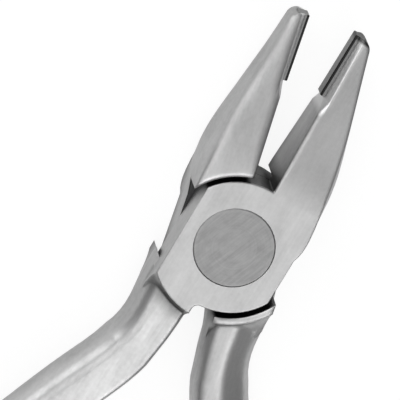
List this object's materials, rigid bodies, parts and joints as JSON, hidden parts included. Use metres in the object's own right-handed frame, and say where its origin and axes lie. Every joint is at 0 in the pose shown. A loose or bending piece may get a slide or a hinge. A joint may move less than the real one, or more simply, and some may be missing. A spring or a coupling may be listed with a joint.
{
  "type": "orthodontic pliers",
  "caption": "Lap-joint orthodontic pliers with tapered beaks, flat carbide tip inserts, a flush pivot disc and long handles that curve outward",
  "frame": {"origin": "on the pivot axis, in the flat rear face of the joint that the pliers lie on", "axes": "+Y along the bisector of the jaws towards the tips, +X to the right seen from the front, +Z out of the front face along the pivot axis"},
  "size_m": [0.0608, 0.128, 0.0093],
  "materials": {
    "forged_steel": "satin",
    "pin_steel": "ground",
    "disc_steel": "turned, satin",
    "carbide": "ground, dark grey"
  },
  "bodies": {
    "rear_side": {"rear_half": "forged_steel", "pivot_pin": "pin_steel", "rear_pivot_disc": "disc_steel", "front_pivot_disc": "disc_steel", "rear_tip_insert": "carbide"},
    "front_side": {"front_half": "forged_steel", "front_tip_insert": "carbide"}
  },
  "joints": [
    {"name": "pivot", "type": "hinge", "parent": "rear_side", "child": "front_side", "pos_m": [0, 0, 0.00465], "axis": [0, 0, 1], "range_deg": [-22, 11.9]}
  ]
}
